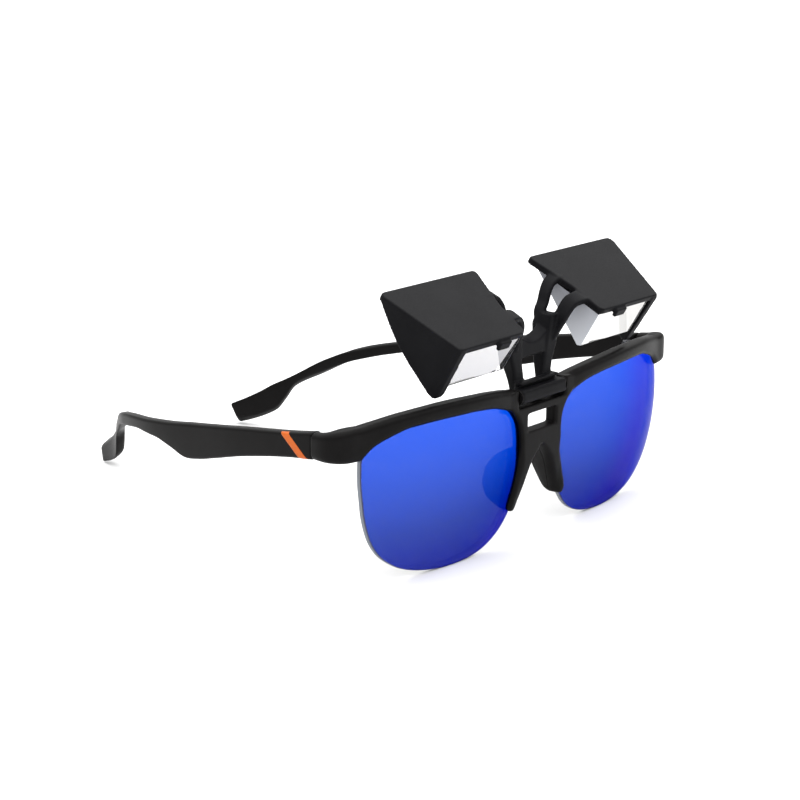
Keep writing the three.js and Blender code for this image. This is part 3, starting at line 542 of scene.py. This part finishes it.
leftPad = padSolid()
hang(makeObject("nosePadLeft", leftPad, [padRubber]), "front", "pad_rubber", "nose_pad_left")
hang(makeObject("nosePadRight", mirrored(leftPad), [padRubber]), "front", "pad_rubber", "nose_pad_right")
print("front made")

# Temples: upright sections on a plan curve that wraps in at the tip. Plan, top and low count from the seam,
# and each At, From and Over is a share of the reach.
temple = {
    "reach": 124.0, "thick": 3.6, "start": 14.1, "round": 0.85, "rows": 260, "spare": 0.2, "tip": 1.007,
    "thin": 0.9, "thinFrom": 0.7, "thinOver": 0.18,
    "swell": 0.9, "swellFrom": 0.9, "swellOver": 0.1, "swellMost": 1.1,
    "slant": 0.45, "slantFrom": 0.86, "slantOver": 0.14,
    "twist": 0.75, "twistFrom": 0.72, "twistOver": 0.14,
    "endRound": 0.6, "endInset": 0.5,
    "planAt": [0, 0.05, 0.208, 0.371, 0.535, 0.693, 0.817, 0.921, 1.01],
    "plan": [0, 0.3, 1.9, 4.7, 8.4, 16.2, 27.5, 37.7, 43.5],
    "tallAt": [0, 0.06, 0.21, 0.31, 0.36, 0.41, 0.465, 0.525, 0.594, 0.673, 0.752, 0.812, 0.871, 0.891,
               0.911, 0.936, 0.97, 1.01],
    "top": [0, -1.3, -4.0, -6.0, -7.0, -8.0, -9.2, -10.3, -11.6, -13.2, -15.6, -19.3, -24.3, -26.0,
            -27.6, -30.0, -32.7, -35.4],
    "low": [0, -0.9, -4.5, -7.8, -9.4, -10.4, -9.0, -7.9, -8.0, -9.6, -12.1, -16.0, -20.3, -24.4,
            -27.9, -29.8, -31.5, -33.0],
}
stripe = {"foot": 1.5, "lean": 6.9, "wide": 2.8, "proud": 0.03, "thick": 0.5, "heightAt": 0.02, "cols": 9}


def templeRun(t):  # the way the plan curve runs at each t, straight back at the seam
    step = 1e-3
    before, after = (between(temple["planAt"], temple["plan"], t + way * step) for way in (-1, 1))
    run = unit(np.stack([before - after, np.full(np.shape(t), 2 * step * temple["reach"])], -1))
    run[t < step] = (0, 1)
    return run


# Ring of the temple's skin at each t. Toward the tip the section thins, its outer side swells with the
# square of the way, it leans back with height, and it twists: the outer side sinks and the inner side rises.
def templeSpot(t, inset=0.0):
    x = brow["end"] - between(temple["planAt"], temple["plan"], t)
    y = temple["start"] + temple["reach"] * t
    top = brow["seamTop"] + between(temple["tallAt"], temple["top"], t) + temple["spare"] - inset
    low = brow["seamLow"] + between(temple["tallAt"], temple["low"], t) - temple["spare"] + inset
    swollen = np.clip((t - temple["swellFrom"]) / temple["swellOver"], 0, temple["swellMost"])
    swell = temple["swell"] * swollen ** 2
    thick = temple["thick"] - temple["thin"] * eased((t - temple["thinFrom"]) / temple["thinOver"])
    u, z = roundSection(inset - thick, swell - inset, low, top, temple["round"], 7)
    slant = temple["slant"] * np.clip((t - temple["slantFrom"]) / temple["slantOver"], 0, 1)
    lean = slant[..., None] * (z - ((top + low) / 2)[..., None])
    twist = temple["twist"] * eased((t - temple["twistFrom"]) / temple["twistOver"])
    z = z - twist[..., None] * (u - ((swell - thick) / 2)[..., None])
    run = templeRun(t)
    ringX = x[..., None] + run[..., 1:] * u + run[..., :1] * lean
    ringY = y[..., None] - run[..., :1] * u + run[..., 1:] * lean
    return np.stack([ringX, ringY, z], -1)


def templeSolid():  # end rings shrink along a quarter circle, so the cut ends have an eased edge
    rings = templeSpot(np.linspace(0, temple["tip"], temple["rows"]))
    turn = np.linspace(0, np.pi / 2, 5)[:-1]
    along = temple["endRound"] / temple["reach"] * (1 - np.cos(turn))
    inset = temple["endInset"] * (1 - np.sin(turn))
    seamEnd, tipEnd = (
        np.array([templeSpot(np.array([at]), inset=less)[0] for at, less in zip(spots, inset)])
        for spots in (along, temple["tip"] - along))
    return loft(np.concatenate([seamEnd, rings[2:-2], tipEnd[::-1]]))


def stripeSolid():  # a slanted band lifted off the temple's outer skin
    ring = templeSpot(np.array([stripe["heightAt"]]))[0]
    count, cols = len(ring), stripe["cols"]
    high = (ring[:, 2] - ring[:, 2].min()) / np.ptp(ring[:, 2])
    pick = np.roll(np.arange(count), count // 4)[: count // 2]
    across = stripe["wide"] * np.linspace(0, 1, cols)
    at = (stripe["foot"] + stripe["lean"] * high[pick][:, None] + across) / temple["reach"]
    rows = np.arange(len(pick))
    outside, inside = (
        templeSpot(at.ravel(), inset=inset).reshape(len(pick), cols, count, 3)[rows, :, pick]
        for inset in (-stripe["proud"], stripe["thick"]))
    return loft(np.concatenate([outside, inside[:, ::-1]], 1))


leftTemple, leftStripe = templeSolid(), stripeSolid()
for side, body, solids in (("Left", "left_temple", (leftTemple, leftStripe)),
                           ("Right", "right_temple", (mirrored(leftTemple), mirrored(leftStripe)))):
    low = side.lower()
    hang(makeObject("temple" + side, solids[0], [frameNylon]), body, "frame_plastic", "temple_" + low)
    hang(makeObject("stripe" + side, solids[1], [inlayOrange]), body, "orange_inlay", "stripe_" + low)
print("temples made")

# Prism carrier: barrel, yoke, straps and housings as one moulding. The spare sizes are added because fusing
# eases edges back.
carrier = {
    "plateTilt": 31.1, "plateFront": (-10.3, 60.05), "plateLong": 24.3, "plateThick": 1.8,
    "plateInner": 12.8, "innerCut": 3.9, "frontCut": 0.5, "bendAt": 0.41, "frontInset": 0.3,
    "frontOuter": 42.6, "splay": 6.6, "sideLean": 0.06, "plateCorners": [2.2, 4.0, 2.0, 1.6, 3.0],
    "spareBack": 0.6, "spareInner": 1.6, "spareEdge": 0.7, "spareOuter": 0.7,
    "yokeFront": -0.05, "yokeBack": 0.35, "voxel": 0.27, "rounds": 8,
}
cheek = {"outline": [(0, 0), (0.3, 18.0), (15.0, 9.9), (25.0, 0.2)], "corners": [1.4, 3.6, 6, 4.0]}
tab = {"inner": 23.0, "wide": 4.8, "reach": 0.8, "drop": 1.2, "bury": 0.3, "under": 0.6}
leg = {
    "rise": [0.2, 3.2, 6.2, 8.2, 13.2, 16.4, 19.2],
    "inner": [3.6, 3.8, 4.4, 4.7, 5.4, 5.8, 6.3], "outer": [7.8, 8.1, 8.5, 9.2, 10.5, 10.3, 9.6],
    "front": [-0.4, -0.4, -0.5, -0.5, -0.9, -1.4, -1.6], "back": [1.85, 2.4, 3.35, 3.8, 4.6, 5.0, 3.4],
    "round": 0.7,
}
web = {"half": 6.5, "low": 49.5, "top": 53.1, "deep": 3.4, "rise": 1.5, "sag": 0.07}
barrel = {"half": 9.45, "tall": 3.7, "deep": 3.8, "round": 0.8}
footBar = {"half": 8.35, "front": -2.4, "back": -0.1, "low": 42.95, "top": 43.75, "round": 0.3}
groove = {"front": -1.1, "rise": 1.0, "lap": 0.3, "round": 0.2}
neck = {"back": 0.8, "low": 0.5, "top": 1.6, "round": 0.2}

# Straps: bend counts from the plate's inner edge; leg from legX, that edge's y and the fork's height
strap = {"bury": 3.0, "slim": 0.03, "round": 0.5, "legX": 8.1, "fork": 15.2}
rearStrap = {
    "at": 0.67, "lip": 0.0, "wide": (3.7, 3.1), "endWay": (0, 1, 0),
    "bend": [(-3.2, -0.2, -1.1), (-5.2, -0.4, -3.4), (-6.2, -0.5, -5.7)],
    "leg": [(-0.8, -0.7, 3.5), (-0.5, -1.2, 0)],
}
frontStrap = {
    "at": 0.3, "lip": 1.3, "wide": (4.7, 3.7), "endWay": (0, 0.95, 0.3),
    "bend": [(-4.4, 0.2, -0.5), (-6.2, 0.7, -2.1)],
    "leg": [(1.5, 1.5, 3.2), (0.9, 2.7, 0.7), (0.2, 4.2, -2.5)],
}
tilt = math.radians(carrier["plateTilt"])


def onPlate(x, s, d):  # s runs back along the plate from its front edge, d down square to it
    x, s, d = np.broadcast_arrays(*(np.asarray(a, float) for a in (x, s, d)))
    y = carrier["plateFront"][0] + math.cos(tilt) * s + math.sin(tilt) * d
    z = carrier["plateFront"][1] + math.sin(tilt) * s - math.cos(tilt) * d
    return np.stack([x, y, z], -1)


def sideX(s, d):  # x of a housing's outer side, which splays to the back and leans in downward
    return carrier["frontOuter"] + carrier["splay"] * s / carrier["plateLong"] - carrier["sideLean"] * d


def plateEdge(s):  # x of a plate's slanted inner edge
    long, inner = carrier["plateLong"], carrier["plateInner"]
    cutX = inner + carrier["innerCut"]
    return between([0, carrier["bendAt"] * long, long], [cutX + carrier["frontCut"], cutX, inner], s)


def plateSolid():  # the flat outline with soft corners, carried down through the plate
    long, front, out = carrier["plateLong"], carrier["frontInset"], carrier["spareOuter"]
    back = long + carrier["spareBack"]
    inner = [(float(plateEdge(long)) - carrier["spareInner"], back)]
    inner += [(float(plateEdge(s)) - carrier["spareEdge"], s) for s in (carrier["bendAt"] * long, front)]
    outer = [(sideX(0, 0) + out, front), (sideX(back, 0) + out, back)]
    outline = softCorners(inner + outer, carrier["plateCorners"], 8)
    depth = np.linspace(0, carrier["plateThick"], 5)[:, None]
    return loft(onPlate(outline[:, 0], outline[:, 1], depth))


def cheekSolid():  # the triangular outer wall of a housing
    s, d = softCorners(cheek["outline"], cheek["corners"], 8).T
    inset = np.linspace(-carrier["spareOuter"], carrier["plateThick"], 5)[:, None]
    return loft(onPlate(sideX(s, d) - inset, s, d))


def tabSolid():  # the small tab under the plate's front edge
    s = np.array([-tab["reach"], tab["bury"]])[:, None]
    near, far = tab["inner"], tab["inner"] + tab["wide"]
    low = carrier["plateThick"] + tab["drop"]
    return loft(onPlate([near, far, far, near], s, [tab["under"], tab["under"], low, low]))


def strapPath(look):  # from inside the plate, over its inner edge and down into the leg
    s, halfDown = look["at"] * carrier["plateLong"], carrier["plateThick"] / 2
    edge = onPlate(plateEdge(s), s, halfDown)
    path = [onPlate(edge[0] + strap["bury"], s, halfDown), onPlate(edge[0] - look["lip"], s, halfDown)]
    path += [edge + step for step in look["bend"]]
    path += [np.array([strap["legX"], edge[1], axle["z"] + strap["fork"]]) + step for step in look["leg"]]
    path = np.array(path)
    path[2:, 1] += carrier["yokeBack"]
    return path


def strapSolid(look):  # flat bar along a curve; its broad side turns from the plate's slope to its end way
    p = strapPath(look)
    at = np.concatenate([[0], np.cumsum(np.linalg.norm(np.diff(p, axis=0), axis=1))])
    t = np.linspace(0, 1, 48)
    spine = np.stack([between(at, p[:, i], t * at[-1]) for i in range(3)], -1)
    run = unit(np.gradient(spine, axis=0))
    broad = np.outer(1 - t, (0, math.cos(tilt), math.sin(tilt))) + np.outer(t, look["endWay"])
    broad = unit(broad - run * (broad * run).sum(1)[:, None])
    thin = np.cross(run, broad)
    half = (look["wide"][0] + (look["wide"][1] - look["wide"][0]) * t) / 2
    halfThin = carrier["plateThick"] / 2 - strap["slim"]
    u, v = roundSection(-half, half, -halfThin, halfThin, strap["round"], 4)
    return loft(spine[:, None] + broad[:, None] * u[..., None] + thin[:, None] * v[..., None])


def legSolid():  # level sections up one leg of the yoke
    rise = np.linspace(leg["rise"][0], leg["rise"][-1], 70)
    inner, outer, front, back = (
        between(leg["rise"], leg[k], rise) for k in ("inner", "outer", "front", "back"))
    shift = carrier["yokeBack"]
    x, y = roundSection(inner, outer, front + shift, back + shift, leg["round"], 4)
    return loft(np.stack([x, y, np.repeat(axle["z"] + rise[:, None], x.shape[1], 1)], -1))


def webSolid():  # saddle between the legs: its top rises to the back, and to the sides with the square of x
    x = np.linspace(-web["half"], web["half"], 25)[:, None]
    top = web["top"] + web["sag"] * x**2
    y = carrier["yokeFront"] + np.array([0, 0, web["deep"], web["deep"]])
    z = np.concatenate([0 * x + web["low"], top, top + web["rise"], 0 * x + web["low"]], 1)
    return loft(np.stack([np.repeat(x, 4, 1), np.repeat(y[None], len(x), 0), z], -1))


def neckSolid():  # joins a leg to the barrel
    return barSolid((leg["inner"][1], leg["outer"][1]), (axle["y"], neck["back"]),
                    (axle["z"] + neck["low"], axle["z"] + neck["top"]), neck["round"])


def hingeBars():  # foot bar, the back of the groove under it, and the barrel round the axle
    spanX = (-footBar["half"], footBar["half"])
    foot = barSolid(spanX, (footBar["front"], footBar["back"]),
                    (footBar["low"], footBar["top"]), footBar["round"])
    grooveBack = barSolid(spanX, (groove["front"], footBar["back"]),
                          (axle["z"] + groove["rise"], footBar["low"] + groove["lap"]), groove["round"])
    halfDeep, halfTall = barrel["deep"] / 2, barrel["tall"] / 2
    tube = barSolid((-barrel["half"], barrel["half"]), (axle["y"] - halfDeep, axle["y"] + halfDeep),
                    (axle["z"] - halfTall, axle["z"] + halfTall), barrel["round"])
    return [foot, grooveBack, tube]


oneSide = [legSolid(), neckSolid(), plateSolid(), cheekSolid(), tabSolid(),
           strapSolid(rearStrap), strapSolid(frontStrap)]
carrierSolids = bothSides(oneSide) + [webSolid()] + hingeBars()
hang(mouldedPiece("prismCarrier", carrierSolids, housingAbs, carrier),
     "prism_unit", "carrier_plastic", "prism_carrier")

# Prisms: 30-60-90 wedges with a cut tip. Strip is how far from the inner end, at each corner, the bright
# front starts. Black paint, between two depths, backs the top face; a black sheet inside the inner end is
# painted shade, seen through the clear strip as a dark wedge.
prism = {
    "start": 0.8, "long": 20.8, "gap": 0.3, "inner": 4.5, "endSlant": 0.17, "ease": 0.03, "tip": 1.2,
    "strip": np.array([1.0, 3.4, 3.4, 3.4]), "thinPull": 2.4,
}
paintAndShade = {"top": (1.85, 2.05), "end": (0.06, 0.16), "edge": 0.06}


# s and d of the front top, back top and the two corners of the cut tip. A smaller section draws in on all
# sides, and its thin back end more than the rest.
def prismSection(less=0.0):
    under = carrier["plateThick"] + prism["gap"]
    front, tip = prism["start"] + less, prism["tip"] + less
    back = prism["start"] + prism["long"] - prism["thinPull"] * less
    foot = under + prism["long"] / math.sqrt(3)
    s = np.array([front, back, front + tip * math.cos(math.pi / 6), front])
    return s, np.array([under + less, under + less, foot - tip / 2 - less, foot - tip])


def innerEnd(s):  # x of the slanted inner end
    return carrier["plateInner"] + prism["inner"] - prism["endSlant"] * s


def outerEnd(s, d):  # x of the outer end, clear of the housing's cheek
    return sideX(s, d) - carrier["plateThick"] - prism["gap"]


def prismSolid():  # rings at the inner end, at the edge of its bright front, and at the outer end
    s, d = prismSection()
    ends = (innerEnd(s), innerEnd(s) + prism["strip"], outerEnd(s, d))
    return loft(np.stack([onPlate(x, s, d) for x in ends]))


# The top sheet is black paint; the sheet inside the inner end is painted shade
def paintAndShadeSolids():
    s, d = prismSection(paintAndShade["edge"])
    end = loft(np.stack([onPlate(innerEnd(s) + deep, s, d) for deep in paintAndShade["end"]]))
    s = prism["start"] + prism["long"] * np.array([0, 1, 1, 0])
    x = np.where([True, True, False, False], innerEnd(s), outerEnd(s, 0))
    return [end, loft(np.stack([onPlate(x, s, deep) for deep in paintAndShade["top"]]))]


prismSkins = [prismClear, prismSilver, prismGround, prismBackedPaintedLight, prismBright]
prismFaces = [  # top, slope, cut tip and front
    prismSilver, prismClear, prismSilver, prismClear,  # of the strip
    prismSilver, prismClear, prismSilver, prismBright,  # of the rest
    prismGround, prismBackedPaintedLight,  # inner and outer end
]


def addPrism(side, solid, paintAndShadeParts):
    name = "prism" + side
    piece = makeObject(name, solid, prismSkins, smooth=False)
    index = np.array([prismSkins.index(skin) for skin in prismFaces], np.int32)
    piece.data.polygons.foreach_set("material_index", index)
    edge = piece.modifiers.new("easedEdges", "BEVEL")
    edge.width = prism["ease"] * mm
    edge.segments = 2
    hang(piece, "prism_unit", "prism_glass", "prism_" + side.lower())
    # black paint on the top face, and painted shade inside the inner end
    paintAndShadeCoat = makeObject(name + "Paint", joined(paintAndShadeParts), [housingAbs], smooth=False)
    hang(paintAndShadeCoat, "prism_unit", "carrier_plastic")


leftPrism, leftPaintAndShade = prismSolid(), paintAndShadeSolids()
addPrism("Left", leftPrism, leftPaintAndShade)
addPrism("Right", mirrored(leftPrism), [mirrored(solid) for solid in leftPaintAndShade])
print("prism unit made")

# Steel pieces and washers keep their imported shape
for name, node in frame["nodes"].items():
    if not node.hide_render:
        node.data.materials.clear()
        node.data.materials.append(padRubber if "washer" in name else hingeSteel)

# Studio: pale paper floor, lit until it is white in the picture, under a pale dome and one soft box
studio = {
    "floor": 20.0, "paper": "#e0e0e0", "glow": 3.3,
    "dome": [(0.525, "#9c9c9c"), (0.545, "#2c2c2c"), (0.62, "#6a6a6a"), (0.95, "#ffffff")],
    "boxAt": (0.62, 0.05, 0.62), "boxSize": 0.7, "boxWatts": 1.1,
}


def addFloor():
    size = studio["floor"]
    corners = [(-size, -size, 0), (size, -size, 0), (size, size, 0), (-size, size, 0)]
    mesh = bpy.data.meshes.new("floor")
    mesh.from_pydata(corners, [], [(0, 1, 2, 3)])
    floor = bpy.data.objects.new("floor", mesh)
    scene.collection.objects.link(floor)
    mesh.materials.append(newMaterial("paleFloorPaper", {
        "Base Color": linear(studio["paper"]), "Roughness": 0.9, "Specular IOR Level": 0.1})[0])


def addSoftbox():  # a square light that looks at the object
    data = bpy.data.lights.new("rightSoftbox", "AREA")
    data.shape = "SQUARE"
    data.size = studio["boxSize"]
    data.energy = studio["boxWatts"]
    light = bpy.data.objects.new("rightSoftbox", data)
    light.location = studio["boxAt"]
    light.rotation_mode = "QUATERNION"
    light.rotation_quaternion = (-Vector(studio["boxAt"])).to_track_quat("-Z", "Y")
    scene.collection.objects.link(light)


def addDome():  # grey tones by height, from the horizon to straight up
    world = bpy.data.worlds.new("paleRoom")
    world.use_nodes = True
    tree = world.node_tree
    spot = addNode(tree, "ShaderNodeTexCoord")
    parts = addNode(tree, "ShaderNodeSeparateXYZ", {"Vector": (spot, "Generated")})
    height = addNode(tree, "ShaderNodeMapRange", {"Value": (parts, "Z"), "From Min": -1.0, "From Max": 1.0})
    tone = addNode(tree, "ShaderNodeValToRGB", {"Fac": (height, "Result")})
    setRamp(tone, studio["dome"])
    sky = tree.nodes["Background"]
    sky.inputs["Strength"].default_value = studio["glow"]
    tree.links.new(tone.outputs["Color"], sky.inputs["Color"])
    scene.world = world


addFloor()
addDome()
addSoftbox()
print("studio made")
